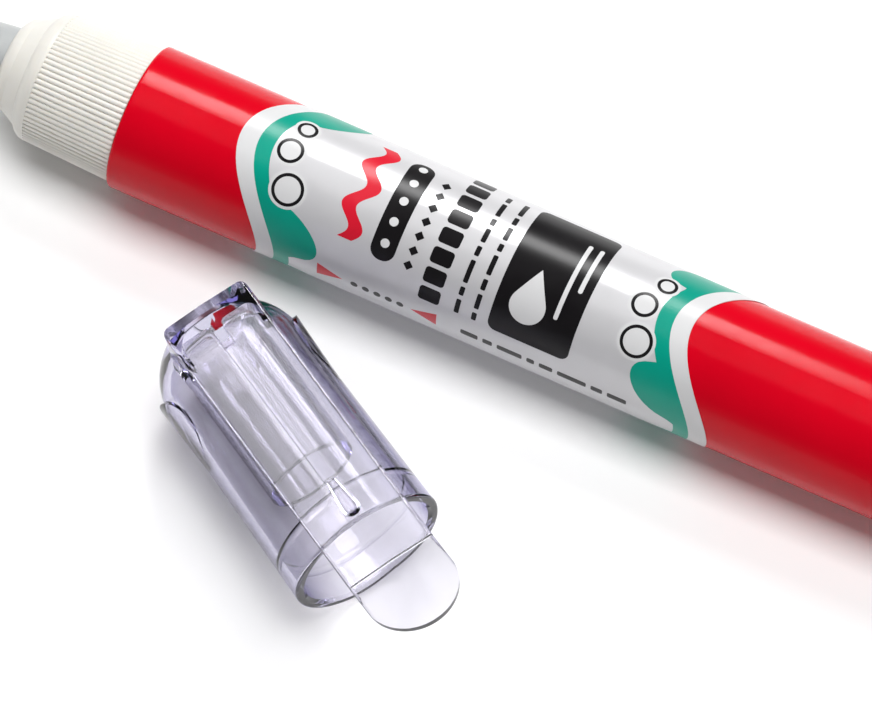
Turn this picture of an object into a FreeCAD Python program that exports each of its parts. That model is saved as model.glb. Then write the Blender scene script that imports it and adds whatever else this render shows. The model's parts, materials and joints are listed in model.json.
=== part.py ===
"""Correction pen lying on its side, with its clear cap taken off and lying beside it.

The pen is modelled about its own axis: +X runs from the writing tip to the rear end, and x = 0 is
the barrel's front lip. The cap is modelled about its axis too, with its mouth at x = 0 and the
crown towards -X. Both are then laid on the floor and moved so that the origin is the middle of
the pair's footprint.
"""
import FreeCAD, Part
import math
import os
from FreeCAD import Placement, Rotation, Vector

X_AXIS = Vector(1, 0, 0)
Y_AXIS = Vector(0, 1, 0)
Z_AXIS = Vector(0, 0, 1)
ORIGIN = Vector(0, 0, 0)
OVERRUN = 1.0

# Barrel
BARREL_LENGTH = 86.0
BARREL_RADIUS = 7.25
BARREL_WALL = 1.0
REAR_WALL = 1.4
REAR_ROUND = 1.8
LIP_ROUND = 0.25
LIP_WALL = 1.5
NECK_LENGTH = 7.4
NECK_RADIUS = 5.4
NECK_BORE = 4.3
NECK_CHAMFER = 0.25
NECK_BEAD_HEIGHT = 0.25
NECK_BEAD_WIDTH = 1.0
NECK_BEAD_BACK = 5.6

# Wrap-round label with wavy ends
LABEL_THICKNESS = 0.06
LABEL_START = 13.5
LABEL_LENGTH = 47.1
LABEL_WAVE = 2.4
LABEL_WAVE_TURN = 2.0

# Ribbed collar
RIB_COUNT = 76
RIB_LENGTH = 9.2
RIB_DEPTH = 0.2
COLLAR_REAR_RADIUS = 6.8
COLLAR_FRONT_RADIUS = 6.45
COLLAR_GAP = 0.1
SHOULDER_LAND = 0.3
SHOULDER_LENGTH = 4.0
SHOULDER_EDGE_LENGTH = 1.2
SHOULDER_EDGE_DROP = 0.85
SHOULDER_EDGE_BOW = 0.19
SHOULDER_CONE_LENGTH = 1.5
SHOULDER_CONE_DROP = 0.8
SHOULDER_FACE_BOW = 0.25
SHOULDER_FACE_RADIUS = 3.75
FIT = 0.05

# Nose, which carries the metal tip and the valve
NOSE_FLANGE = 1.0
NOSE_FLANGE_RADIUS = 5.2
NOSE_LENGTH = 7.5
NOSE_BASE_RADIUS = 3.3
NOSE_END_RADIUS = 1.75
NOSE_BOW = 0.25
NOSE_BORE = 2.2
NOSE_END_WALL = 2.5
SEAL_THICKNESS = 0.5
SEAL_INNER_RADIUS = 4.35

# Metal tip
TIP_SHANK_RADIUS = 1.2
TIP_COLLAR_RADIUS = 1.55
TIP_COLLAR_LENGTH = 0.5
TIP_COLLAR_STEP = 0.2
TIP_CONE_LENGTH = 2.9
TIP_CONE_END_RADIUS = 0.55
TIP_TUBE_LENGTH = 2.6
TIP_TUBE_RADIUS = 0.42
TIP_BORE = 0.29
TIP_FUNNEL_WIDTH = 0.4
TIP_FUNNEL_LENGTH = 0.6

# Valve
NEEDLE_RADIUS = 0.24
NEEDLE_STAND_OUT = 0.16
VALVE_GAP = 0.05
PLUNGER_RADIUS = 1.9
PLUNGER_LENGTH = 3.0
PLUNGER_CONE = 0.8
PLUNGER_FLUTES = 4
PLUNGER_FLUTE_RADIUS = 0.45
VALVE_TRAVEL = 0.8
STEM_RADIUS = 0.85
STEM_CLEARANCE = 0.1
HOLDER_FLANGE = 1.0
HOLDER_FLANGE_RADIUS = 4.2
HOLDER_PLUG_LENGTH = 1.5
HOLDER_PORTS = 3
HOLDER_PORT_RADIUS = 0.55
HOLDER_PORT_CIRCLE = 1.3
SPRING_WIRE = 0.4
SPRING_TURNS = 6
SPRING_RADIUS = 1.4

# Mixing ball
BALL_RADIUS = 2.3
BALL_PLACE = 47.0
BALL_CLEARANCE = 0.15

# Cap
CAP_LENGTH = 28.9
CAP_MOUTH_RADIUS = 7.95
CAP_CROWN_RADIUS = 7.45
CAP_SIDE_LENGTH = 22.8
CAP_BORE = 6.9
CAP_BORE_LENGTH = 3.1
CAP_BEAD_WIDTH = 0.9
CAP_BEAD_HEIGHT = 0.15
CAP_CROWN_WALL = 1.1
CAP_END_WALL = 1.5
CAP_LIP_ROUND = 0.3
DOME_KNEE_RADIUS = 4.6
DOME_RISE = 0.9
DOME_BOW = 0.22
CROWN_BOW = 0.67
INNER_CROWN_BOW = 0.52
TUBE_START = 9.6
TUBE_RADIUS = 4.4
TUBE_BORE = 3.7
TUBE_END_CHAMFER = 1.0

# Clip of the cap
CLIP_WIDTH = 9.3
CLIP_THICKNESS = 1.2
CLIP_ROOF = 0.22
CLIP_EDGE = 0.4
CLIP_EDGE_LIMIT = 0.45
CLIP_CORNER = 0.8
CLIP_GAP = 0.9
CLIP_START = 26.4
CLIP_REACH = 6.0
BRIDGE_LENGTH = 4.6
POCKET_DEPTH = 2.6
POCKET_SIDE_WALL = 0.8
POCKET_ROUND = 0.6
TONGUE_LENGTH = 8.0
TONGUE_LIFT = 12.0
TONGUE_THICKNESS = 0.85
CLIP_RIB_WIDTH = 1.1
CLIP_RIB_HEIGHT = 0.45
BUMP_LENGTH = 8.8
BUMP_RADIUS = 0.95
BUMP_HEIGHT = 0.7

# Finger pads of the cap
PAD_FRONT = 16.0
PAD_LENGTH = 7.9
PAD_HEIGHT_ACROSS = 7.6
PAD_STEP = 0.4

# Where the cap lies beside the pen
CAP_MOUTH_ALONG = 39.7
CAP_MOUTH_ACROSS = -31.9
CAP_HEADING = -30.75
CAP_ROLL = 7.2

NECK_FRONT = -NECK_LENGTH
FLANGE_BACK = NECK_FRONT - SEAL_THICKNESS
FLANGE_FRONT = FLANGE_BACK - NOSE_FLANGE
COLLAR_FRONT = -RIB_LENGTH - SHOULDER_LAND - SHOULDER_LENGTH
NOSE_FRONT = COLLAR_FRONT - NOSE_LENGTH
SHANK_BACK = NOSE_FRONT + NOSE_END_WALL
TIP_CONE_START = NOSE_FRONT - TIP_COLLAR_LENGTH
TIP_TUBE_START = TIP_CONE_START - TIP_CONE_LENGTH
TIP_END = TIP_TUBE_START - TIP_TUBE_LENGTH
PLUNGER_FRONT = SHANK_BACK + VALVE_GAP
PLUNGER_BACK = PLUNGER_FRONT + PLUNGER_LENGTH
HOLDER_FRONT = FLANGE_BACK - HOLDER_PLUG_LENGTH
STEM_END = HOLDER_FRONT - VALVE_TRAVEL - STEM_CLEARANCE
CAP_TAPER = math.degrees(math.atan2(CAP_MOUTH_RADIUS - CAP_CROWN_RADIUS, CAP_SIDE_LENGTH))
INNER_SIDE = (-CAP_SIDE_LENGTH, CAP_CROWN_RADIUS - CAP_CROWN_WALL)
INNER_FLOOR = (-CAP_LENGTH + DOME_RISE + CAP_END_WALL, TUBE_RADIUS)


def wire_xz(start, steps):
    """Closed wire in the XZ plane. A step is a point, or a pair of points for an arc."""
    edges = []
    here = Vector(start[0], 0, start[1])
    for step in steps:
        if isinstance(step[0], tuple):
            middle, end = (Vector(x, 0, z) for x, z in step)
            edges.append(Part.Arc(here, middle, end).toShape())
        else:
            end = Vector(step[0], 0, step[1])
            edges.append(Part.makeLine(here, end))
        here = end
    first = Vector(start[0], 0, start[1])
    if here.distanceToPoint(first) > 1e-6:
        edges.append(Part.makeLine(here, first))
    return Part.Wire(edges)


def turned(start, *steps):
    """Solid turned about the X axis from an outline of (x, radius) points."""
    return Part.Face(wire_xz(start, steps)).revolve(ORIGIN, X_AXIS, 360)


def corner_middle(x, radius, size, toward_x, toward_radius):
    """Middle of the quarter arc that rounds the square corner at (x, radius)."""
    inset = size * (1 - math.sqrt(0.5))
    return (x + toward_x * inset, radius + toward_radius * inset)


def bowed(start, end, bow):
    """Arc step from start to end, whose middle stands off the straight line by the bow."""
    along = end[0] - start[0]
    out = end[1] - start[1]
    share = math.copysign(bow, along) / math.hypot(along, out)
    middle = ((start[0] + end[0]) / 2 - out * share, (start[1] + end[1]) / 2 + along * share)
    return (middle, end)


def round_bars(count, circle, radius, start, end):
    """Cutting bars along X, evenly spaced on a circle, that pass both ends by the overrun."""
    bars = []
    for index in range(count):
        angle = 2 * math.pi * index / count
        foot = Vector(start - OVERRUN, circle * math.cos(angle), circle * math.sin(angle))
        bars.append(Part.makeCylinder(radius, end - start + 2 * OVERRUN, foot, X_AXIS))
    return bars


def barrel():
    """Squeeze barrel with a closed rear end and a beaded neck for the collar."""
    bore = BARREL_RADIUS - BARREL_WALL
    inner_end = BARREL_LENGTH - REAR_WALL
    inner_round = REAR_ROUND - BARREL_WALL / 2
    bead_front = -NECK_BEAD_BACK - NECK_BEAD_WIDTH / 2
    bead_back = -NECK_BEAD_BACK + NECK_BEAD_WIDTH / 2
    slope_end = LIP_WALL + bore - NECK_BORE
    return turned(
        (NECK_FRONT, NECK_BORE),
        (NECK_FRONT, NECK_RADIUS - NECK_CHAMFER),
        (NECK_FRONT + NECK_CHAMFER, NECK_RADIUS),
        (bead_front, NECK_RADIUS),
        bowed((bead_front, NECK_RADIUS), (bead_back, NECK_RADIUS), NECK_BEAD_HEIGHT),
        (0, NECK_RADIUS),
        (0, BARREL_RADIUS - LIP_ROUND),
        (corner_middle(0, BARREL_RADIUS, LIP_ROUND, 1, -1), (LIP_ROUND, BARREL_RADIUS)),
        (BARREL_LENGTH - REAR_ROUND, BARREL_RADIUS),
        (
            corner_middle(BARREL_LENGTH, BARREL_RADIUS, REAR_ROUND, -1, -1),
            (BARREL_LENGTH, BARREL_RADIUS - REAR_ROUND),
        ),
        (BARREL_LENGTH, 0),
        (inner_end, 0),
        (inner_end, bore - inner_round),
        (corner_middle(inner_end, bore, inner_round, -1, -1), (inner_end - inner_round, bore)),
        (slope_end, bore),
        (LIP_WALL, NECK_BORE),
    )


def wave_cutter(middle, reach):
    """Block whose near face is a saddle, so that it cuts a tube in two even waves a turn."""
    size = 2 * BARREL_RADIUS
    rise = LABEL_WAVE * (size / BARREL_RADIUS) ** 2
    surface = Part.BezierSurface()
    surface.increase(2, 2)
    for row, across in enumerate((-1, 0, 1)):
        for column, up in enumerate((-1, 0, 1)):
            bend = (1 if across else -1) - (1 if up else -1)
            point = Vector(middle + rise * bend, across * size, up * size)
            surface.setPole(row + 1, column + 1, point)
    block = surface.toShape().extrude(Vector(reach, 0, 0))
    block.rotate(ORIGIN, X_AXIS, LABEL_WAVE_TURN)
    return block


def label():
    """Thin film wrapped round the barrel, with both ends cut to the same wave."""
    spare = 2 * LABEL_WAVE
    start = LABEL_START - spare
    length = LABEL_LENGTH + 2 * spare
    at = Vector(start, 0, 0)
    film = Part.makeCylinder(BARREL_RADIUS + LABEL_THICKNESS, length, at, X_AXIS)
    film = film.cut(Part.makeCylinder(BARREL_RADIUS, length, at, X_AXIS))
    reach = 2 * spare
    film = film.cut(wave_cutter(LABEL_START, -reach))
    return film.cut(wave_cutter(LABEL_START + LABEL_LENGTH, reach)).Solids[0]


def ribbed_wire(x, radius):
    """Section across the ribs: rounded ribs that meet in narrow valleys."""
    valley = radius - RIB_DEPTH
    step = 2 * math.pi / RIB_COUNT

    def at(distance, angle):
        return Vector(x, distance * math.cos(angle), distance * math.sin(angle))

    edges = []
    for index in range(RIB_COUNT):
        angle = index * step
        arc = Part.Arc(at(valley, angle), at(radius, angle + step / 2), at(valley, angle + step))
        edges.append(arc.toShape())
    return Part.Wire(edges)


def collar():
    """Ribbed collar that snaps over the neck and clamps the nose's flange."""
    front = -RIB_LENGTH
    ribs = Part.makeLoft(
        [ribbed_wire(front, COLLAR_FRONT_RADIUS), ribbed_wire(-COLLAR_GAP, COLLAR_REAR_RADIUS)],
        True,
        True,
    )
    land = (front - SHOULDER_LAND, COLLAR_FRONT_RADIUS)
    edge = (land[0] - SHOULDER_EDGE_LENGTH, land[1] - SHOULDER_EDGE_DROP)
    cone = (edge[0] - SHOULDER_CONE_LENGTH, edge[1] - SHOULDER_CONE_DROP)
    shoulder = turned(
        (front, 0),
        (front, COLLAR_FRONT_RADIUS),
        land,
        bowed(land, edge, SHOULDER_EDGE_BOW),
        cone,
        bowed(cone, (COLLAR_FRONT, SHOULDER_FACE_RADIUS), SHOULDER_FACE_BOW),
        (COLLAR_FRONT, 0),
    )
    skirt = NECK_RADIUS + FIT
    groove_back = (-NECK_BEAD_BACK + NECK_BEAD_WIDTH / 2 + FIT, skirt)
    groove_front = (-NECK_BEAD_BACK - NECK_BEAD_WIDTH / 2 - FIT, skirt)
    passage = NOSE_BASE_RADIUS + FIT
    inside = turned(
        (0, 0),
        (0, skirt),
        groove_back,
        bowed(groove_back, groove_front, NECK_BEAD_HEIGHT + FIT),
        (FLANGE_FRONT, skirt),
        (FLANGE_FRONT, passage),
        (COLLAR_FRONT - OVERRUN, passage),
        (COLLAR_FRONT - OVERRUN, 0),
    )
    return ribs.fuse(shoulder).cut(inside).removeSplitter().Solids[0]


def seal_ring():
    """Flat rubber ring between the neck's end and the nose's flange."""
    return turned(
        (NECK_FRONT, SEAL_INNER_RADIUS),
        (NECK_FRONT, NOSE_FLANGE_RADIUS),
        (FLANGE_BACK, NOSE_FLANGE_RADIUS),
        (FLANGE_BACK, SEAL_INNER_RADIUS),
    )


def nose():
    """Tapered nose with a flange at its back and a stepped bore for the valve."""
    base = (COLLAR_FRONT, NOSE_BASE_RADIUS)
    return turned(
        (FLANGE_BACK, NOSE_BORE),
        (FLANGE_BACK, NOSE_FLANGE_RADIUS),
        (FLANGE_FRONT, NOSE_FLANGE_RADIUS),
        (FLANGE_FRONT, NOSE_BASE_RADIUS),
        base,
        bowed(base, (NOSE_FRONT, NOSE_END_RADIUS), NOSE_BOW),
        (NOSE_FRONT, TIP_SHANK_RADIUS),
        (SHANK_BACK, TIP_SHANK_RADIUS),
        (SHANK_BACK, NOSE_BORE),
    )


def metal_tip():
    """Turned metal tip: shank in the nose, small collar, cone and fine tube."""
    return turned(
        (SHANK_BACK, TIP_BORE + TIP_FUNNEL_WIDTH),
        (SHANK_BACK, TIP_SHANK_RADIUS),
        (NOSE_FRONT, TIP_SHANK_RADIUS),
        (NOSE_FRONT, TIP_COLLAR_RADIUS),
        (TIP_CONE_START, TIP_COLLAR_RADIUS),
        (TIP_CONE_START, TIP_COLLAR_RADIUS - TIP_COLLAR_STEP),
        (TIP_TUBE_START, TIP_CONE_END_RADIUS),
        (TIP_TUBE_START, TIP_TUBE_RADIUS),
        (TIP_END, TIP_TUBE_RADIUS),
        (TIP_END, TIP_BORE),
        (SHANK_BACK - TIP_FUNNEL_LENGTH, TIP_BORE),
    )


def needle():
    """Fine wire that closes the tip's tube and stands a little out of it."""
    end = TIP_END - NEEDLE_STAND_OUT
    back = PLUNGER_FRONT + PLUNGER_LENGTH / 2
    half = NEEDLE_RADIUS * math.sqrt(0.5)
    return turned(
        (end, 0),
        ((end + NEEDLE_RADIUS - half, half), (end + NEEDLE_RADIUS, NEEDLE_RADIUS)),
        (back, NEEDLE_RADIUS),
        (back, 0),
    )


def plunger():
    """Moulded plunger that holds the needle, with flutes that let the fluid past."""
    wire_end = PLUNGER_FRONT + PLUNGER_LENGTH / 2
    body = turned(
        (PLUNGER_FRONT, NEEDLE_RADIUS),
        (PLUNGER_FRONT, STEM_RADIUS),
        (PLUNGER_FRONT + PLUNGER_CONE, PLUNGER_RADIUS),
        (PLUNGER_BACK, PLUNGER_RADIUS),
        (PLUNGER_BACK, STEM_RADIUS),
        (STEM_END, STEM_RADIUS),
        (STEM_END, 0),
        (wire_end, 0),
        (wire_end, NEEDLE_RADIUS),
    )
    flutes = round_bars(
        PLUNGER_FLUTES, PLUNGER_RADIUS, PLUNGER_FLUTE_RADIUS, PLUNGER_FRONT, PLUNGER_BACK
    )
    return body.cut(flutes).Solids[0]


def valve_spring():
    """Coil spring between the plunger's shoulder and the holder's plug."""
    wire = SPRING_WIRE / 2
    length = HOLDER_FRONT - PLUNGER_BACK - SPRING_WIRE
    helix = Part.makeHelix(length / SPRING_TURNS, length, SPRING_RADIUS)
    circle = Part.Circle(Vector(SPRING_RADIUS, 0, 0), Y_AXIS, wire).toShape()
    coil = Part.Wire(helix.Edges).makePipeShell([Part.Wire([circle])], True, True)
    coil.Placement = Placement(Vector(PLUNGER_BACK + wire, 0, 0), Rotation(Y_AXIS, 90))
    return coil


def spring_holder():
    """Ported disc in the neck, with a plug that closes the nose and backs the spring."""
    body = turned(
        (HOLDER_FRONT, 0),
        (HOLDER_FRONT, NOSE_BORE),
        (FLANGE_BACK, NOSE_BORE),
        (FLANGE_BACK, HOLDER_FLANGE_RADIUS),
        (FLANGE_BACK + HOLDER_FLANGE, HOLDER_FLANGE_RADIUS),
        (FLANGE_BACK + HOLDER_FLANGE, 0),
    )
    ports = round_bars(
        HOLDER_PORTS,
        HOLDER_PORT_CIRCLE,
        HOLDER_PORT_RADIUS,
        HOLDER_FRONT,
        FLANGE_BACK + HOLDER_FLANGE,
    )
    return body.cut(ports).Solids[0]


def mixing_ball():
    """Steel ball that lies loose on the barrel's inner wall."""
    drop = BARREL_RADIUS - BARREL_WALL - BALL_RADIUS - BALL_CLEARANCE
    return Part.makeSphere(BALL_RADIUS, Vector(BALL_PLACE, 0, -drop))


def cap_radius(back):
    """Outer radius of the cap's side, this far back from its mouth."""
    return CAP_MOUTH_RADIUS + (CAP_CROWN_RADIUS - CAP_MOUTH_RADIUS) * back / CAP_SIDE_LENGTH


def cap_shell():
    """Domed cap with an inner sealing tube and a snap bead inside its mouth."""
    crown = (-CAP_LENGTH, 0)
    knee = (-CAP_LENGTH + DOME_RISE, DOME_KNEE_RADIUS)
    side = (-CAP_SIDE_LENGTH, CAP_CROWN_RADIUS)
    bead_front = (-CAP_BORE_LENGTH, CAP_BORE)
    bead_back = (-CAP_BORE_LENGTH - CAP_BEAD_WIDTH, CAP_BORE)
    tube_floor = -CAP_LENGTH + CAP_END_WALL
    lip_middle = corner_middle(0, CAP_MOUTH_RADIUS, CAP_LIP_ROUND, -1, -1)
    return turned(
        crown,
        bowed(crown, knee, DOME_BOW),
        bowed(knee, side, CROWN_BOW),
        (-CAP_LIP_ROUND, CAP_MOUTH_RADIUS),
        (lip_middle, (0, CAP_MOUTH_RADIUS - CAP_LIP_ROUND)),
        (0, CAP_BORE + CAP_LIP_ROUND),
        (-CAP_LIP_ROUND, CAP_BORE),
        bead_front,
        bowed(bead_front, bead_back, -CAP_BEAD_HEIGHT),
        INNER_SIDE,
        bowed(INNER_SIDE, INNER_FLOOR, INNER_CROWN_BOW),
        (-TUBE_START, TUBE_RADIUS),
        (-TUBE_START, TUBE_BORE),
        (tube_floor + TUBE_END_CHAMFER, TUBE_BORE),
        (tube_floor, TUBE_BORE - TUBE_END_CHAMFER),
        (tube_floor, 0),
    )


def clip_section(x, under, top):
    """Section across the clip: flat underneath, rounded corners, a faint ridge along its top."""
    half = CLIP_WIDTH / 2
    shoulder = top - CLIP_ROOF
    edge = min(CLIP_EDGE, CLIP_EDGE_LIMIT * (shoulder - under))
    inset = edge * (1 - math.sqrt(0.5))

    def corner(side, height, upward):
        """Quarter-round corner, from its side face to its top or bottom."""
        return Part.Arc(
            Vector(x, side * half, height - upward * edge),
            Vector(x, side * (half - inset), height - upward * inset),
            Vector(x, side * (half - edge), height),
        ).toShape()

    def straight(start, end):
        return Part.makeLine(Vector(x, *start), Vector(x, *end))

    flat = half - edge
    return Part.Wire(
        [
            straight((-flat, under), (flat, under)),
            corner(1, under, -1),
            straight((half, under + edge), (half, shoulder - edge)),
            corner(1, shoulder, 1),
            straight((flat, shoulder), (0, top)),
            straight((0, top), (-flat, shoulder)),
            corner(-1, shoulder, 1),
            straight((-half, shoulder - edge), (-half, under + edge)),
            corner(-1, under, -1),
        ]
    )


def clip_length(*sections):
    """Straight length of the clip between two of its sections, each (x, under, top)."""
    return Part.makeLoft([clip_section(*section) for section in sections], True, True)


def clip_under(back):
    """Height of the clip's underside above the cap's axis, this far back from the mouth."""
    return cap_radius(back) + CLIP_GAP


def clip_plan():
    """Tall block with the clip's outline seen from above: rounded corners and a round end."""
    start = -CLIP_START
    half = CLIP_WIDTH / 2
    tip = CLIP_REACH + TONGUE_LENGTH
    flat_end = tip - half
    corner = start + CLIP_CORNER
    flat = half - CLIP_CORNER
    edges = [
        Part.Arc(Vector(flat_end, -half, 0), Vector(tip, 0, 0), Vector(flat_end, half, 0)),
        Part.LineSegment(Vector(start, -flat, 0), Vector(start, flat, 0)),
    ]
    for side in (-1, 1):
        middle = Vector(*corner_middle(start, side * half, CLIP_CORNER, 1, -side), 0)
        corner_end = Vector(corner, side * half, 0)
        edges.append(Part.LineSegment(Vector(flat_end, side * half, 0), corner_end))
        edges.append(Part.Arc(corner_end, middle, Vector(start, side * flat, 0)))
    outline = Part.Wire(Part.__sortEdges__([edge.toShape() for edge in edges]))
    return Part.Face(outline).extrude(Vector(0, 0, CAP_LENGTH))


def clip_pockets():
    """Two hollows in the bridge that leave its back wall, side walls and a web in the middle."""
    front = -CLIP_START + BRIDGE_LENGTH
    back = front - POCKET_DEPTH
    width = (CLIP_WIDTH - CLIP_RIB_WIDTH) / 2 - POCKET_SIDE_WALL
    pockets = []
    for low in (CLIP_RIB_WIDTH / 2, -CLIP_RIB_WIDTH / 2 - width):
        block = Part.makeBox(POCKET_DEPTH + OVERRUN, width, CAP_LENGTH, Vector(back, low, 0))
        inner = [
            edge
            for edge in block.Edges
            if edge.BoundBox.ZLength > CAP_LENGTH / 2 and edge.BoundBox.XMax < back + OVERRUN / 2
        ]
        pockets.append(block.makeFillet(POCKET_ROUND, inner))
    return pockets


def clip():
    """Pocket clip: pocketed bridge on the crown, long blade, and a thinner, lifted tongue."""
    start = -CLIP_START
    tongue_end = CLIP_REACH + TONGUE_LENGTH
    lift = TONGUE_LENGTH * math.tan(math.radians(TONGUE_LIFT))
    under_start = clip_under(CLIP_START)
    under_crease = clip_under(-CLIP_REACH)
    top_start = under_start + CLIP_THICKNESS
    crease = (CLIP_REACH, under_crease, under_crease + CLIP_THICKNESS)
    end_under = under_crease + lift
    blade = clip_length((start, under_start, top_start), crease)
    tongue = clip_length(
        (CLIP_REACH, under_crease, under_crease + TONGUE_THICKNESS),
        (tongue_end, end_under, end_under + TONGUE_THICKNESS),
    )
    foot = CAP_CROWN_RADIUS / 2
    bridge_front = start + BRIDGE_LENGTH
    top_front = clip_under(-bridge_front) + CLIP_THICKNESS
    bridge = clip_length((start, foot, top_start), (bridge_front, foot, top_front))
    pocketed = bridge.cut(clip_pockets())
    return blade.fuse([tongue, pocketed]).common(clip_plan())


def bump():
    """Round teardrop bump under the blade, pointed towards the crown."""
    spread = math.acos(BUMP_RADIUS / (BUMP_LENGTH - BUMP_RADIUS))

    def on_end(angle):
        """Point on the drop's round end, this far round from its nose."""
        return (BUMP_RADIUS * (math.cos(angle) - 1), BUMP_RADIUS * math.sin(angle))

    side = math.pi - spread
    drop = turned((-BUMP_LENGTH, 0), on_end(side), (on_end(side / 2), (0, 0)))
    drop.rotate(ORIGIN, Y_AXIS, -CAP_TAPER)
    drop.translate(Vector(0, 0, clip_under(0) + BUMP_RADIUS - BUMP_HEIGHT))
    return drop


def clip_rib():
    """Low rib under the blade, from the bridge's web to the bump."""
    start = -CLIP_START + BRIDGE_LENGTH / 2
    end = -BUMP_LENGTH / 2
    rise = CLIP_RIB_HEIGHT + CLIP_THICKNESS / 2
    foot = clip_under(-start) - CLIP_RIB_HEIGHT
    end_foot = clip_under(-end) - CLIP_RIB_HEIGHT
    side = wire_xz((start, foot), [(end, end_foot), (end, end_foot + rise), (start, foot + rise)])
    rib = Part.Face(side).extrude(Vector(0, CLIP_RIB_WIDTH, 0))
    rib.translate(Vector(0, -CLIP_RIB_WIDTH / 2, 0))
    return rib


def pads():
    """Two oval finger pads on the cap's sides, stepped at the crown and flush in front."""
    back = PAD_FRONT + PAD_LENGTH
    middle = PAD_FRONT + PAD_LENGTH / 2
    inside = CAP_CROWN_RADIUS - CAP_CROWN_WALL / 2
    swell = turned(
        (-back, inside),
        (-back, cap_radius(back) + PAD_STEP),
        (-PAD_FRONT, cap_radius(PAD_FRONT)),
        (-PAD_FRONT, inside),
    )
    oval = Part.Ellipse(ORIGIN, PAD_LENGTH / 2, PAD_HEIGHT_ACROSS / 2).toShape()
    reach = 2 * CAP_MOUTH_RADIUS
    prism = Part.Face(Part.Wire([oval])).extrude(Vector(0, 0, 2 * reach))
    prism.rotate(ORIGIN, X_AXIS, 90)
    prism.translate(Vector(-middle, reach, 0))
    return swell.common(prism).Solids


def cap():
    """Clear cap, one moulding, about its own axis."""
    body = cap_shell()
    cavity_front = -CLIP_START + 2 * BRIDGE_LENGTH
    cavity = turned(
        (INNER_FLOOR[0], 0),
        INNER_FLOOR,
        INNER_SIDE,
        (cavity_front, INNER_SIDE[1]),
        (cavity_front, 0),
    )
    outside = [clip().cut(cavity), bump(), clip_rib()] + pads()
    return body.fuse(outside).removeSplitter().Solids[0]


def lay_cap(shape, axis_height):
    """Turn the cap to how it lies, with its tapered side flat on the floor."""
    shape.rotate(ORIGIN, X_AXIS, CAP_ROLL)
    shape.rotate(ORIGIN, Y_AXIS, -CAP_TAPER)
    shape.rotate(ORIGIN, Z_AXIS, CAP_HEADING)
    mouth_height = CAP_MOUTH_RADIUS * math.cos(math.radians(CAP_TAPER))
    shape.translate(Vector(CAP_MOUTH_ALONG, CAP_MOUTH_ACROSS, mouth_height - axis_height))
    return shape


def build():
    """Every piece in the pen's own frame, as a dictionary of node name to solid."""
    axis_height = BARREL_RADIUS + LABEL_THICKNESS
    return {
        "barrel": barrel(),
        "label": label(),
        "collar": collar(),
        "seal_ring": seal_ring(),
        "nose": nose(),
        "metal_tip": metal_tip(),
        "needle": needle(),
        "plunger": plunger(),
        "valve_spring": valve_spring(),
        "spring_holder": spring_holder(),
        "mixing_ball": mixing_ball(),
        "cap": lay_cap(cap(), axis_height),
    }


def main():
    pieces = build()
    boxes = [shape.optimalBoundingBox(False, False) for shape in pieces.values()]
    middle_x = (min(b.XMin for b in boxes) + max(b.XMax for b in boxes)) / 2
    middle_y = (min(b.YMin for b in boxes) + max(b.YMax for b in boxes)) / 2
    move = Vector(-middle_x, -middle_y, BARREL_RADIUS + LABEL_THICKNESS)
    os.makedirs("parts", exist_ok=True)
    for name, shape in pieces.items():
        shape.translate(move)
        shape.exportStep(f"parts/{name}.step")
        print(name, len(shape.Solids), shape.isValid(), round(shape.Volume, 3))
    print("pen axis and lip at", [round(value, 4) for value in move])


main()
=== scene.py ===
"""Looks of the correction pen and its clear cap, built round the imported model. Metres, +Z up."""
import json
import math

import bmesh
import bpy
from mathutils import Matrix, Vector


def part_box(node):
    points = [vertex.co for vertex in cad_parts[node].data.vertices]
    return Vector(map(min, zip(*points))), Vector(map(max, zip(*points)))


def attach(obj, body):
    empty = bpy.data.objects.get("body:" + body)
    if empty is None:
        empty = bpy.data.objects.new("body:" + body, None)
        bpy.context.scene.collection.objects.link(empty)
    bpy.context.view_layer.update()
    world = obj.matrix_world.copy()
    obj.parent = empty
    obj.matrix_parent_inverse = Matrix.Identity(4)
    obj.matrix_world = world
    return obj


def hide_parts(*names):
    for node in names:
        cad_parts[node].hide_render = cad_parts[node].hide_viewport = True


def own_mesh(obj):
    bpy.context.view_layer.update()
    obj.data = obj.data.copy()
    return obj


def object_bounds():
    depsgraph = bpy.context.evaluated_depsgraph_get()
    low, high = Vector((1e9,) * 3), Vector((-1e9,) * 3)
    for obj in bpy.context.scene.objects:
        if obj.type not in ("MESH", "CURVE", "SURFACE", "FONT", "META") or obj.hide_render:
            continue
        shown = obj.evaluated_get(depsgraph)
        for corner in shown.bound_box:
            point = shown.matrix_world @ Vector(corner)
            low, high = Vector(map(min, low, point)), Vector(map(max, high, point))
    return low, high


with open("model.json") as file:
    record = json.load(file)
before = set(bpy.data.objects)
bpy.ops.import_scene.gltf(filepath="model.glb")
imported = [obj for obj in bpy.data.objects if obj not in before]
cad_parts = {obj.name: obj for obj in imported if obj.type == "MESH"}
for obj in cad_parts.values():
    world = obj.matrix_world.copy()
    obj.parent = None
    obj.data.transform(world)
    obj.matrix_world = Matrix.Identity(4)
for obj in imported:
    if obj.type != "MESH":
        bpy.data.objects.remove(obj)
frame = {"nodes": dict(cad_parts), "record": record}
nodes = frame["nodes"]
cad_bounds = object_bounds()

MM = 0.001
WHITE = (1, 1, 1, 1)

# Camera: direction, scale at the pen, and the pixel that shows the middle of the barrel's lip
AZIMUTH = math.radians(25.9)
ELEVATION = math.radians(64.0)
IMAGE_WIDTH = 872
IMAGE_HEIGHT = 718
PIXELS_PER_METRE = 10550
LIP_PIXEL_X = 139.3
LIP_PIXEL_Y = 116.6
LENS = 700
SENSOR = 36

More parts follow.
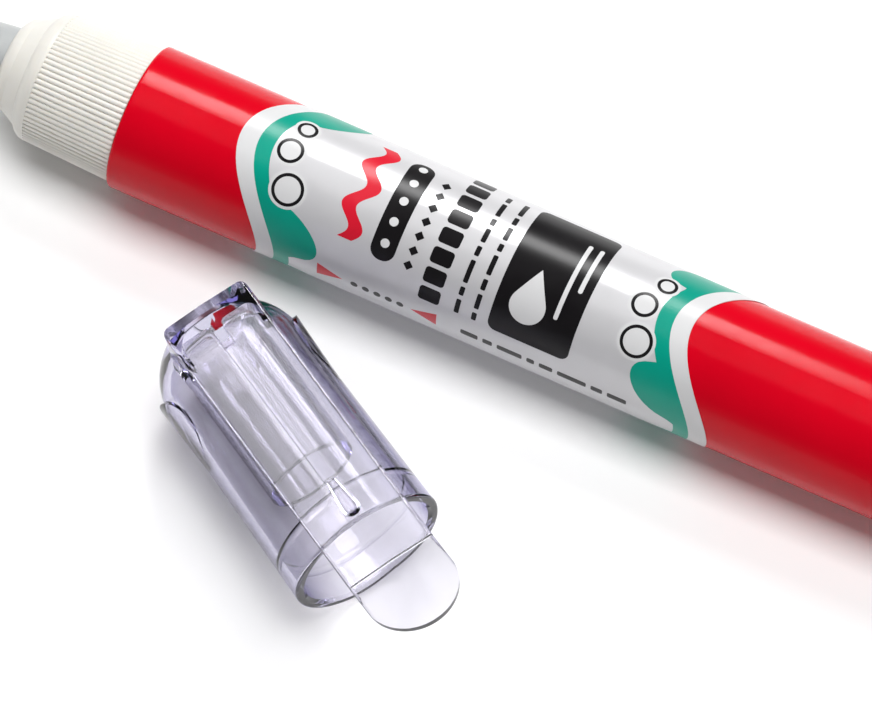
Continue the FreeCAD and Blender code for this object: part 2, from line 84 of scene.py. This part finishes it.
# Studio: floor, walls and lamps, with lamp sizes in metres and powers in watts
FLOOR_REACH = 3.0
FLOOR_GAP = 0.00002
FLOOR_WHITE = (0.94, 0.94, 0.94)
FLOOR_GLOW = 0.05
HORIZON_BAND = (0.02, 0.25)
HORIZON_WHITE = 0.4
CEILING_WHITE = 0.12
KEY_DIRECTION = (-0.19, 0.66, 0.72)
KEY_DISTANCE = 0.42
KEY_SIZE = (0.1, 0.12)
KEY_POWER = 0.7
TOP_DIRECTION = (-0.02, 0.12, 1)
TOP_DISTANCE = 0.5
TOP_SIZE = (0.5, 0.26)
TOP_POWER = 2.5

# Clear plastic: its tint where a face is looked at face-on, and the painted dark violet shade where it
# is looked at edge-on, which partly stands in for the violet of a long way through it; how much lamplight
# one face lets through where it is met face-on and edge-on, and what its thickness takes out of the light
TINT_FACE_ON = (0.965, 0.96, 0.965)
EDGE_ON_TINT_AND_PAINTED_SHADE = (0.05, 0.03, 0.26)
LAMP_FACE_ON = (0.82, 0.82, 0.8)
LAMP_EDGE_ON = (0.05, 0.05, 0.04)
ABSORB_COLOR = (0.25, 0.17, 0.8, 1)
ABSORB_DENSITY = 40

# Span that most of a noise's values lie in, which is spread between the two ends of a finish
NOISE_SPAN = (0.3, 0.7)
NOISE_DETAIL = 3.0

# Sockets of the colour mix node
MIX_FACTOR = 0
MIX_FIRST = 6
MIX_SECOND = 7
MIX_RESULT = 2

# Inks of the label, each as the two shades that it drifts between
INKS = {
    "white": ((0.67, 0.67, 0.675), (0.65, 0.65, 0.655)),
    "green": ((0.0, 0.33, 0.235), (0.0, 0.3, 0.215)),
    "black": ((0.006, 0.005, 0.006), (0.01, 0.009, 0.01)),
    "red": ((0.68, 0.01, 0.03), (0.63, 0.01, 0.028)),
}

# The pen's axis, its lip and its label, from the frame
NECK_LENGTH = 7.4 * MM
barrel_low, barrel_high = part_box("barrel")
label_low, label_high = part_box("label")
LIP = Vector((
    barrel_low.x + NECK_LENGTH,
    (barrel_low.y + barrel_high.y) / 2,
    (barrel_low.z + barrel_high.z) / 2,
))
LABEL_RADIUS = (label_high.y - label_low.y) / 2

# Label, measured along the pen from the lip: its ends, and their wave round it
LABEL_START = 13.5 * MM
LABEL_END = 60.6 * MM
LABEL_WAVE = 2.4 * MM
WAVES_ROUND = 2
LABEL_WAVE_TURN = math.radians(2.0)

# Ink: thickness of one layer, widest facet round the label, and how near a cut a point is on it
INK = 0.006 * MM
FACET = 0.35 * MM
ON_CUT = 1e-9

# Steepest fold between two facets that is still shaded smooth
INK_FOLD = math.radians(30)
SPRING_FOLD = math.radians(40)

# Round the label from its top towards the camera's side, to the middle of the camera's view
VIEW_SIDE = math.atan2(math.cos(AZIMUTH) * math.cos(ELEVATION), math.sin(ELEVATION))
FRONT = VIEW_SIDE * LABEL_RADIUS
HALF_TURN = math.pi * LABEL_RADIUS

# Ends of the print: wavy borders, bands with lobes, and discs given as side from FRONT and radius
BORDER = 1.85 * MM
BAND = 1.6 * MM
LOBE_DEPTH = 3.6 * MM
LOBE_HALF_WIDTH = 2.9 * MM
LOBE_ARCS = [FRONT + side + turn for turn in (0, HALF_TURN) for side in (4.9 * MM, -9.4 * MM)]
BUBBLES = ((0.8 * MM, 1.6 * MM), (-2.8 * MM, 1.3 * MM), (-5.7 * MM, 1.0 * MM))
BUBBLE_OUTLINE = 0.32 * MM
BUBBLE_HALO = 0.3 * MM

# Dashes of the print: lengths of the short rows and of the lower line, corner as share of thickness
DASHES = [length * MM for length in (1.1, 2.0, 0.8, 1.5, 1.0, 2.3, 0.9, 1.6)]
LINE_DASHES = [length * MM for length in (1.8, 1.0, 2.6, 0.8, 1.4, 3.0, 1.2, 2.0)]
DASH_CORNER = 0.25

# Place of the print's lower line, and of the lines of dashes on the hidden side
LOWER_ARC = FRONT + 7.9 * MM
REAR_ARC = FRONT + HALF_TURN
REAR_LINES = 5
REAR_STEP = 1.8 * MM
REAR_SHIFT = 3

# Falling drop: its point's distance from its middle in radii, and its round part in degrees
DROP_POINT = 2.1
DROP_START = -30
DROP_SWEEP = 240

# Valve spring, drawn in its place
SPRING_WIRE = 0.4 * MM
SPRING_TURNS = 6
SPRING_SIDES = 16
SPRING_STEPS = 48


def view_axes():
    """Right, up and back directions of the camera."""
    right = Vector((math.cos(AZIMUTH), math.sin(AZIMUTH), 0))
    back = Vector((
        math.sin(AZIMUTH) * math.cos(ELEVATION),
        -math.cos(AZIMUTH) * math.cos(ELEVATION),
        math.sin(ELEVATION),
    ))
    return right, back.cross(right), back


def make_camera():
    """Camera of the photo, set so that the barrel's lip falls on its pixel."""
    right, up, back = view_axes()
    across = (LIP_PIXEL_X - IMAGE_WIDTH / 2) / PIXELS_PER_METRE
    above = (IMAGE_HEIGHT / 2 - LIP_PIXEL_Y) / PIXELS_PER_METRE
    target = LIP - right * across - up * above
    data = bpy.data.cameras.new("camera")
    data.lens = LENS
    data.sensor_width = SENSOR
    distance = IMAGE_WIDTH / PIXELS_PER_METRE * LENS / SENSOR
    camera = bpy.data.objects.new("camera", data)
    camera.matrix_world = Matrix.Translation(target + back * distance) @ Matrix(
        (right, up, back)
    ).transposed().to_4x4()
    bpy.context.scene.collection.objects.link(camera)
    bpy.context.scene.camera = camera


def add_node(tree, kind, **settings):
    """New shader node; each setting fills the socket of that name, or else the node's property."""
    made = tree.nodes.new(kind)
    for key, value in settings.items():
        socket = key.replace("_", " ")
        if socket in made.inputs:
            made.inputs[socket].default_value = value
        else:
            setattr(made, key, value)
    return made


def feed(tree, node, *sources):
    """Link the sources to the node's first inputs, in order, and return its output."""
    for source, socket in zip(sources, node.inputs):
        tree.links.new(source, socket)
    return node.outputs[0]


def spread(tree, source, span, ends):
    """The source's span mapped onto the two ends."""
    made = add_node(
        tree, "ShaderNodeMapRange", From_Min=span[0], From_Max=span[1], To_Min=ends[0], To_Max=ends[1],
    )
    return feed(tree, made, source)


def greatest(tree, first, *others):
    """The greatest of several values."""
    for other in others:
        first = feed(tree, add_node(tree, "ShaderNodeMath", operation="MAXIMUM"), first, other)
    return first


class Shading:
    """A new material with its Principled shader and short ways to vary it."""

    def __init__(self, name, color, roughness, **sockets):
        self.material = bpy.data.materials.new(name)
        self.material.use_nodes = True
        self.tree = self.material.node_tree
        self.shader = self.tree.nodes["Principled BSDF"]
        self.shader.inputs["Base Color"].default_value = (*color, 1)
        self.shader.inputs["Roughness"].default_value = roughness
        for socket, value in sockets.items():
            self.shader.inputs[socket.replace("_", " ")].default_value = value

    def node(self, kind, **settings):
        return add_node(self.tree, kind, **settings)

    def link(self, source, target):
        self.tree.links.new(source, target)

    def noise(self, size, detail=NOISE_DETAIL):
        """Noise in the object's own space, with features of about the given size."""
        place = self.node("ShaderNodeTexCoord")
        noise = self.node("ShaderNodeTexNoise", Scale=1 / size, Detail=detail)
        self.link(place.outputs["Object"], noise.inputs["Vector"])
        return noise.outputs["Fac"]

    def mix(self, factor, first, second):
        """Colour that goes from the first to the second as the factor goes from 0 to 1."""
        mix = self.node("ShaderNodeMix", data_type="RGBA")
        mix.inputs[MIX_FIRST].default_value = (*first, 1)
        mix.inputs[MIX_SECOND].default_value = (*second, 1)
        self.link(factor, mix.inputs[MIX_FACTOR])
        return mix.outputs[MIX_RESULT]

    def mottle(self, size, first, second):
        """Base colour that drifts between two shades."""
        share = spread(self.tree, self.noise(size), NOISE_SPAN, (0, 1))
        self.link(self.mix(share, first, second), self.shader.inputs["Base Color"])

    def smears(self, size, low, high):
        """Roughness that drifts between two values."""
        rough = spread(self.tree, self.noise(size), NOISE_SPAN, (low, high))
        self.link(rough, self.shader.inputs["Roughness"])

    def bump(self, source, height, strength):
        """Unevenness that follows the source."""
        bump = self.node("ShaderNodeBump", Strength=strength, Distance=height)
        self.link(source, bump.inputs["Height"])
        self.link(bump.outputs["Normal"], self.shader.inputs["Normal"])

    def grain(self, size, height, strength=0.5, detail=NOISE_DETAIL):
        """Unevenness with features of about the given size."""
        self.bump(self.noise(size, detail), height, strength)


def plastic(name, color, second, roughness, mottle, grain, height, **sockets):
    """Moulded plastic: two close shades in soft patches, and a fine grain, each of its own size."""
    made = Shading(name, color, roughness, **sockets)
    made.mottle(mottle, color, second)
    made.grain(grain, height)
    return made.material


def red_plastic():
    """Glossy red of the squeeze barrel."""
    red = Shading("red_plastic", color=(0.65, 0.0, 0.012), roughness=0.16, Specular_IOR_Level=0.16)
    red.mottle(size=6 * MM, first=(0.66, 0.0, 0.012), second=(0.62, 0.0, 0.011))
    red.smears(size=1.5 * MM, low=0.13, high=0.2)
    red.grain(size=0.5 * MM, height=0.01 * MM, detail=4)
    return red.material


def white_plastic():
    """Warm white of the collar, which lets a little light in."""
    return plastic(
        "white_plastic", color=(0.78, 0.76, 0.71), second=(0.74, 0.72, 0.67), roughness=0.4,
        mottle=4 * MM, grain=0.2 * MM, height=0.004 * MM,
        Subsurface_Weight=0.2, Subsurface_Scale=0.5 * MM, Subsurface_Radius=(1, 0.8, 0.6),
    )


def nose_plastic():
    """Greyish, slightly see-through plastic of the nose."""
    return plastic(
        "nose_plastic", color=(0.62, 0.64, 0.64), second=(0.57, 0.59, 0.6), roughness=0.3,
        mottle=3 * MM, grain=0.2 * MM, height=0.004 * MM, Transmission_Weight=0.35,
    )


def plunger_plastic():
    """Plain pale plastic of the pieces inside the nose."""
    return plastic(
        "plunger_plastic", color=(0.75, 0.75, 0.72), second=(0.7, 0.7, 0.68), roughness=0.4,
        mottle=1 * MM, grain=0.1 * MM, height=0.003 * MM,
    )


def steel():
    """Turned steel: fine rings round the pen's axis."""
    metal = Shading("steel", color=(0.6, 0.6, 0.6), roughness=0.22, Metallic=1.0)
    place = metal.node("ShaderNodeTexCoord")
    rings = metal.node("ShaderNodeTexWave", Scale=1 / (0.4 * MM), Distortion=1.5, Detail=2.0)
    metal.link(place.outputs["Object"], rings.inputs["Vector"])
    metal.bump(rings.outputs["Fac"], height=0.003 * MM, strength=0.4)
    metal.smears(size=0.3 * MM, low=0.18, high=0.3)
    return metal.material


def seal_rubber():
    """Matt black rubber of the seal ring."""
    rubber = Shading("seal_rubber", color=(0.03, 0.03, 0.03), roughness=0.7)
    rubber.smears(size=0.5 * MM, low=0.6, high=0.8)
    rubber.grain(size=0.1 * MM, height=0.005 * MM, strength=0.6)
    return rubber.material


def clear_plastic():
    """Clear plastic, violet through a long way, with a dark violet shade painted where it is looked at
    edge-on.

    Lamplight passes straight through it, less where it meets a wall edge-on, so that the floor
    under the cap is lit and its outline still throws a shadow.
    """
    clear = Shading(
        "clear_plastic", color=(0.97, 0.97, 1.0), roughness=0.02, Transmission_Weight=1.0, IOR=1.5,
    )
    clear.grain(size=3 * MM, height=0.01 * MM, strength=0.3, detail=1)
    edge_on = clear.node("ShaderNodeLayerWeight", Blend=0.5).outputs["Facing"]
    # Painted shade: the base colour darkens to violet where a face is seen edge-on, partly standing in
    # for the plastic's violet through a long way
    tint_and_painted_edge_shade = clear.mix(edge_on, TINT_FACE_ON, EDGE_ON_TINT_AND_PAINTED_SHADE)
    clear.link(tint_and_painted_edge_shade, clear.shader.inputs["Base Color"])
    open_to_lamps = clear.node("ShaderNodeBsdfTransparent")
    clear.link(clear.mix(edge_on, LAMP_FACE_ON, LAMP_EDGE_ON), open_to_lamps.inputs["Color"])
    surface = feed(
        clear.tree,
        clear.node("ShaderNodeMixShader"),
        clear.node("ShaderNodeLightPath").outputs["Is Shadow Ray"],
        clear.shader.outputs[0],
        open_to_lamps.outputs[0],
    )
    inside = clear.node("ShaderNodeVolumeAbsorption", Color=ABSORB_COLOR, Density=ABSORB_DENSITY)
    output = clear.tree.nodes["Material Output"]
    clear.link(surface, output.inputs["Surface"])
    clear.link(inside.outputs["Volume"], output.inputs["Volume"])
    return clear.material


def printed(name, color, second, roughness=0.28, metallic=0.0):
    """A field of the label: film or ink with a faint mottle under the same satin gloss."""
    ink = Shading(name, color, roughness, Metallic=metallic, Specular_IOR_Level=0.3)
    ink.mottle(size=4 * MM, first=color, second=second)
    return ink.material


def label_film():
    """Pearly white of the bare label."""
    return printed(
        "label_film", color=(0.66, 0.655, 0.67), second=(0.63, 0.625, 0.64), roughness=0.3, metallic=0.2,
    )


def dress_nodes():
    """Give every CAD node its finish."""
    slots = {
        "red_plastic": red_plastic(),
        "white_plastic": white_plastic(),
        "nose_plastic": nose_plastic(),
        "plunger_plastic": plunger_plastic(),
        "steel": steel(),
        "seal_rubber": seal_rubber(),
        "clear_plastic": clear_plastic(),
        "label_film": label_film(),
    }
    for part in frame["record"]["subparts"]:
        nodes[part["node"]].material_slots[0].material = slots[part["material_slot"]]


def make_object(name, mesh, material, fold=INK_FOLD):
    """Turn a bmesh into an object of the scene, shaded smooth over folds up to the given angle."""
    data = bpy.data.meshes.new(name)
    mesh.to_mesh(data)
    mesh.free()
    for polygon in data.polygons:
        polygon.use_smooth = True
    data.set_sharp_from_angle(angle=fold)
    data.materials.append(material)
    made = bpy.data.objects.new(name, data)
    bpy.context.scene.collection.objects.link(made)
    return made


def coil(start, length, radius):
    """Mesh of the spring's wire, wound round an axis along the pen that begins at the start."""
    climb = length / SPRING_TURNS / (2 * math.pi)
    mesh = bmesh.new()
    rings = []
    for step in range(SPRING_TURNS * SPRING_STEPS + 1):
        turn = 2 * math.pi * step / SPRING_STEPS
        out = Vector((0, math.sin(turn), -math.cos(turn)))
        ahead = Vector((climb, radius * math.cos(turn), radius * math.sin(turn))).normalized()
        across = ahead.cross(out)
        middle = start + Vector((climb * turn, 0, 0)) + out * radius
        ring = []
        for side in range(SPRING_SIDES):
            angle = 2 * math.pi * side / SPRING_SIDES
            offset = out * math.cos(angle) + across * math.sin(angle)
            ring.append(mesh.verts.new(middle + offset * (SPRING_WIRE / 2)))
        rings.append(ring)
    for ring, following in zip(rings, rings[1:]):
        for side in range(SPRING_SIDES):
            after = (side + 1) % SPRING_SIDES
            mesh.faces.new((ring[side], ring[after], following[after], following[side]))
    mesh.faces.new(rings[0])
    mesh.faces.new(rings[-1])
    bmesh.ops.recalc_face_normals(mesh, faces=mesh.faces[:])
    return mesh


def make_spring():
    """Coil spring of the valve, drawn in the place of its node, which it hides; the real spring shortens
    by the valve's travel as the needle is pressed in.
    """
    low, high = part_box("valve_spring")
    wire = SPRING_WIRE / 2
    start = Vector((low.x + wire, LIP.y, LIP.z))
    mesh = coil(start, high.x - low.x - SPRING_WIRE, (high.z - low.z) / 2 - wire)
    spring = make_object(
        "coil_spring", mesh, nodes["valve_spring"].material_slots[0].material, SPRING_FOLD,
    )
    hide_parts("valve_spring")
    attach(spring, "pen")
    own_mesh(spring)


def wave(arc):
    """How far the label's wavy ends stand along the pen, at this distance round from the top."""
    return -LABEL_WAVE * math.cos(WAVES_ROUND * (arc / LABEL_RADIUS - LABEL_WAVE_TURN))


def lobe(arc):
    """How far the green lobes reach in from their band, at this distance round from the top."""
    reach = 0
    for middle in LOBE_ARCS:
        away = (arc - middle + HALF_TURN) % (2 * HALF_TURN) - HALF_TURN
        if abs(away) < LOBE_HALF_WIDTH:
            reach = LOBE_DEPTH * math.sqrt(1 - (away / LOBE_HALF_WIDTH) ** 2)
    return reach


def wrap(along, arc, height):
    """Point on the label: along the pen from its lip, round it from the top towards -Y."""
    angle = arc / LABEL_RADIUS
    radius = LABEL_RADIUS + height
    return LIP + Vector((along, -radius * math.sin(angle), radius * math.cos(angle)))


def ink_patch(name, outlines, layer, material):
    """Thin closed patches of ink, given as flat outlines of (along, arc) points."""
    mesh = bmesh.new()
    for outline in outlines:
        mesh.faces.new([mesh.verts.new((along, arc, 0)) for along, arc in outline])
    bmesh.ops.triangulate(mesh, faces=mesh.faces[:])
    arcs = [vertex.co.y for vertex in mesh.verts]
    for index in range(math.ceil(min(arcs) / FACET), math.ceil(max(arcs) / FACET)):
        bmesh.ops.bisect_plane(
            mesh,
            geom=mesh.verts[:] + mesh.edges[:] + mesh.faces[:],
            dist=ON_CUT,
            plane_co=(0, index * FACET, 0),
            plane_no=(0, 1, 0),
        )
    top = bmesh.ops.extrude_face_region(mesh, geom=mesh.faces[:])["geom"]
    for item in top:
        if isinstance(item, bmesh.types.BMVert):
            item.co.z = layer * INK
    for vertex in mesh.verts:
        vertex.co = wrap(vertex.co.x, vertex.co.y, vertex.co.z)
    bmesh.ops.recalc_face_normals(mesh, faces=mesh.faces[:])
    patch = make_object(name, mesh, material)
    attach(patch, "pen")


def ring_strip(start, width, inner_side=0, steps=132):
    """Outlines of a band all the way round that follows the label's wave.

    The inner side is 1 or -1 where green lobes grow from the band towards the label's middle,
    and 0 where both edges are plain.
    """
    arcs = [2 * HALF_TURN * index / steps for index in range(steps + 1)]
    edges = []
    for arc in arcs:
        reach = inner_side * lobe(arc)
        edges.append((start + wave(arc) + min(reach, 0), start + width + wave(arc) + max(reach, 0)))
    return [
        [(low_a, a), (low_b, b), (high_b, b), (high_a, a)]
        for a, b, (low_a, high_a), (low_b, high_b) in zip(arcs, arcs[1:], edges, edges[1:])
    ]


def curve(along, arc, radius, start, sweep, steps):
    """Points of a circle from its start over its sweep, both in degrees."""
    points = []
    for index in range(steps + 1):
        angle = math.radians(start + sweep * index / steps)
        points.append((along + radius * math.cos(angle), arc + radius * math.sin(angle)))
    return points


def disc(along, arc, radius, steps=40):
    """Outline of a disc, which is a diamond where it has only four steps."""
    return curve(along, arc, radius, 0, 360, steps)[:-1]


def drop(along, arc, radius, steps=30):
    """Outline of a falling drop: a round body with a point towards the top of the label."""
    point = arc - DROP_POINT * radius
    return curve(along, arc, radius, DROP_START, DROP_SWEEP, steps) + [(along, point)]


def rounded(along, arc, length, width, radius, steps=6):
    """Outline of a rounded rectangle: length along the pen, width round it."""
    points = []
    for quarter, (ahead, aside) in enumerate(((1, 1), (-1, 1), (-1, -1), (1, -1))):
        middle_along = along + ahead * (length / 2 - radius)
        middle_arc = arc + aside * (width / 2 - radius)
        points += curve(middle_along, middle_arc, radius, 90 * quarter, 90, steps)
    return points


def triangle(point, base, arc, half_width):
    """Outline of a triangle that points along the pen."""
    return [(point, arc), (base, arc + half_width), (base, arc - half_width)]


def ribbon(along, arc, length, width, swing, waves, steps=60):
    """Outline of a wavy ribbon that runs round the label."""
    middle = []
    for index in range(steps + 1):
        share = index / steps
        shift = swing * math.sin(2 * math.pi * waves * share)
        middle.append((along + shift, arc + (share - 0.5) * length))
    ahead = [(place + width / 2, side) for place, side in middle]
    behind = [(place - width / 2, side) for place, side in middle]
    return ahead + behind[::-1]


def dashes(along, arc, lengths, gap, thickness, lengthwise=False):
    """Row of small bars of uneven length, round the label or along it, about its middle."""
    total = sum(lengths) + gap * (len(lengths) - 1)
    place = -total / 2
    corner = thickness * DASH_CORNER
    bars = []
    for length in lengths:
        middle = place + length / 2
        if lengthwise:
            bars.append(rounded(along + middle, arc, length, thickness, corner))
        else:
            bars.append(rounded(along, arc + middle, thickness, length, corner))
        place += length + gap
    return bars


def row_arcs(count, step, before):
    """Places of an even row round the label, the first so many steps before FRONT."""
    return [FRONT + (index - before) * step for index in range(count)]


def turned(lengths, count):
    """The lengths in the same order, begun at another one."""
    return lengths[count:] + lengths[:count]


def add_bubbles(add, edge, inwards):
    """Outlined discs that shrink round the label, along the inner edge of a green band."""
    for turn in (0, HALF_TURN):
        for side, radius in BUBBLES:
            arc = FRONT + turn + side
            along = edge + wave(arc) + inwards * (radius + BUBBLE_HALO)
            add("white", 2, [disc(along, arc, radius + BUBBLE_HALO)])
            add("black", 3, [disc(along, arc, radius)])
            add("white", 4, [disc(along, arc, radius - BUBBLE_OUTLINE)])


def add_ends(add):
    """White borders and green bands at both ends of the label, with lobes and discs."""
    for start in (LABEL_START, LABEL_END - BORDER):
        add("white", 1, ring_strip(start, BORDER))
    add("green", 1, ring_strip(LABEL_START + BORDER, BAND, 1))
    add("green", 1, ring_strip(LABEL_END - BORDER - BAND, BAND, -1))
    add_bubbles(add, LABEL_START + BORDER + BAND, 1)
    add_bubbles(add, LABEL_END - BORDER - BAND, -1)


def add_ribbon(add):
    """Red ribbon, and a black bar with white beads behind it."""
    add("red", 1, [ribbon(
        along=24.2 * MM, arc=FRONT - 2.6 * MM, length=11 * MM, width=1.5 * MM, swing=0.75 * MM, waves=2.5,
    )])
    bar_along = 28.1 * MM
    add("black", 1, [rounded(
        along=bar_along, arc=FRONT - 2.2 * MM, length=2.5 * MM, width=11.5 * MM, radius=1.2 * MM,
    )])
    for arc in row_arcs(count=5, step=2.2 * MM, before=3.2):
        add("white", 2, [disc(bar_along, arc, radius=0.45 * MM, steps=20)])


def add_rows(add):
    """Rows round the label: small diamonds, bold squares and two rows of dashes."""
    for arc in row_arcs(count=7, step=1.5 * MM, before=4.1):
        add("black", 1, [disc(30.9 * MM, arc, radius=0.5 * MM, steps=4)])
    for arc in row_arcs(count=8, step=2.05 * MM, before=4.6):
        add("black", 1, [rounded(33.7 * MM, arc, length=2.2 * MM, width=1.6 * MM, radius=0.35 * MM)])
    second_row = turned(DASHES[::-1], 2)
    for along, lengths in ((36.6 * MM, DASHES), (38.4 * MM, second_row)):
        add("black", 1, dashes(along, FRONT - 1.6 * MM, lengths, gap=0.45 * MM, thickness=0.5 * MM))


def add_panel(add):
    """Black panel with one white drop and two bars that start at the same place."""
    add("black", 1, [rounded(
        along=44 * MM, arc=FRONT - 1.9 * MM, length=8.4 * MM, width=15.2 * MM, radius=0.9 * MM,
    )])
    add("white", 2, [drop(along=43 * MM, arc=FRONT + 1.9 * MM, radius=1.8 * MM)])
    bars_start = FRONT - 6.6 * MM
    for along, width in ((45.9 * MM, 8.6 * MM), (47.1 * MM, 5.4 * MM)):
        middle = bars_start + width / 2
        add("white", 2, [rounded(along, middle, length=0.45 * MM, width=width, radius=0.2 * MM)])


def add_lower_line(add):
    """Triangles, dots and a line of dashes along the pen, low on the camera's side."""
    for point, base in ((25 * MM, 22.3 * MM), (32.1 * MM, 34.8 * MM)):
        add("red", 1, [triangle(point, base, LOWER_ARC, half_width=0.95 * MM)])
    dots_start = 26.2 * MM
    dots_step = 1.2 * MM
    for index in range(5):
        add("black", 1, [disc(dots_start + index * dots_step, LOWER_ARC, radius=0.38 * MM, steps=16)])
    add("black", 1, dashes(
        46 * MM, LOWER_ARC, LINE_DASHES, gap=0.5 * MM, thickness=0.75 * MM, lengthwise=True,
    ))


def add_rear_lines(add):
    """Lines of dashes along the pen, on the side that the camera doesn't see."""
    for line in range(REAR_LINES):
        lengths = turned(DASHES, REAR_SHIFT * line % len(DASHES)) * 2
        arc = REAR_ARC + (line - REAR_LINES // 2) * REAR_STEP
        add("black", 1, dashes(
            37 * MM, arc, lengths, gap=0.5 * MM, thickness=0.5 * MM, lengthwise=True,
        ))


def print_label():
    """Generic print in few plain colours: bands, lobes, discs, bars and a drop."""
    shapes = {color: {} for color in INKS}

    def add(color, layer, outlines):
        shapes[color].setdefault(layer, []).extend(outlines)

    add_ends(add)
    add_ribbon(add)
    add_rows(add)
    add_panel(add)
    add_lower_line(add)
    add_rear_lines(add)
    for color, layers in shapes.items():
        ink = printed(f"ink_{color}", *INKS[color])
        for layer, outlines in layers.items():
            ink_patch(f"print_{color}_{layer}", outlines, layer, ink)


def make_floor():
    """Large pale floor that shows the soft shadow, with a faint glow where it is looked at."""
    pale = Shading(
        "floor_white", color=FLOOR_WHITE, roughness=0.9, Specular_IOR_Level=0.0, Emission_Color=WHITE,
    )
    path = pale.node("ShaderNodeLightPath")
    kinds = ("Is Camera Ray", "Is Glossy Ray", "Is Transmission Ray")
    looked_at = greatest(pale.tree, *[path.outputs[kind] for kind in kinds])
    glow = pale.node("ShaderNodeMath", operation="MULTIPLY")
    glow.inputs[1].default_value = FLOOR_GLOW
    pale.link(feed(pale.tree, glow, looked_at), pale.shader.inputs["Emission Strength"])
    mesh = bmesh.new()
    bmesh.ops.create_grid(mesh, x_segments=1, y_segments=1, size=FLOOR_REACH)
    floor = make_object("floor", mesh, pale.material)
    floor.location.z = -FLOOR_GAP


def make_world():
    """Studio walls: pale near the horizon, dim above, and white behind what is looked through."""
    world = bpy.data.worlds.new("studio")
    bpy.context.scene.world = world
    world.use_nodes = True
    tree = world.node_tree
    background = tree.nodes["Background"]
    background.inputs["Color"].default_value = WHITE
    place = add_node(tree, "ShaderNodeTexCoord")
    split = add_node(tree, "ShaderNodeSeparateXYZ")
    feed(tree, split, place.outputs["Generated"])
    wall = spread(tree, split.outputs["Z"], HORIZON_BAND, (HORIZON_WHITE, CEILING_WHITE))
    path = add_node(tree, "ShaderNodeLightPath")
    kinds = ("Is Camera Ray", "Is Transmission Ray")
    strength = greatest(tree, wall, *[path.outputs[kind] for kind in kinds])
    tree.links.new(strength, background.inputs["Strength"])


def softbox(name, direction, distance, size, power, in_gloss=True):
    """Rectangular lamp that looks at the object's middle; its width runs along the pen."""
    data = bpy.data.lights.new(name, "AREA")
    data.shape = "RECTANGLE"
    data.size, data.size_y = size
    data.energy = power
    lamp = bpy.data.objects.new(name, data)
    away = Vector(direction).normalized()
    middle = (cad_bounds[0] + cad_bounds[1]) / 2
    lamp.location = middle + away * distance
    pen_way = Vector((1, 0, 0))
    side = (pen_way - away * pen_way.dot(away)).normalized()
    lamp.rotation_euler = Matrix((side, away.cross(side), away)).transposed().to_euler()
    lamp.visible_glossy = in_gloss
    bpy.context.scene.collection.objects.link(lamp)


def make_lamps():
    """Key lamp from behind the pen, whose gloss is seen, and a wide one above that isn't."""
    softbox("key", KEY_DIRECTION, KEY_DISTANCE, KEY_SIZE, KEY_POWER)
    softbox("overhead", TOP_DIRECTION, TOP_DISTANCE, TOP_SIZE, TOP_POWER, in_gloss=False)


make_camera()
dress_nodes()
make_spring()
print_label()
make_floor()
make_world()
make_lamps()

scene = bpy.context.scene
scene.view_settings.view_transform = "Standard"
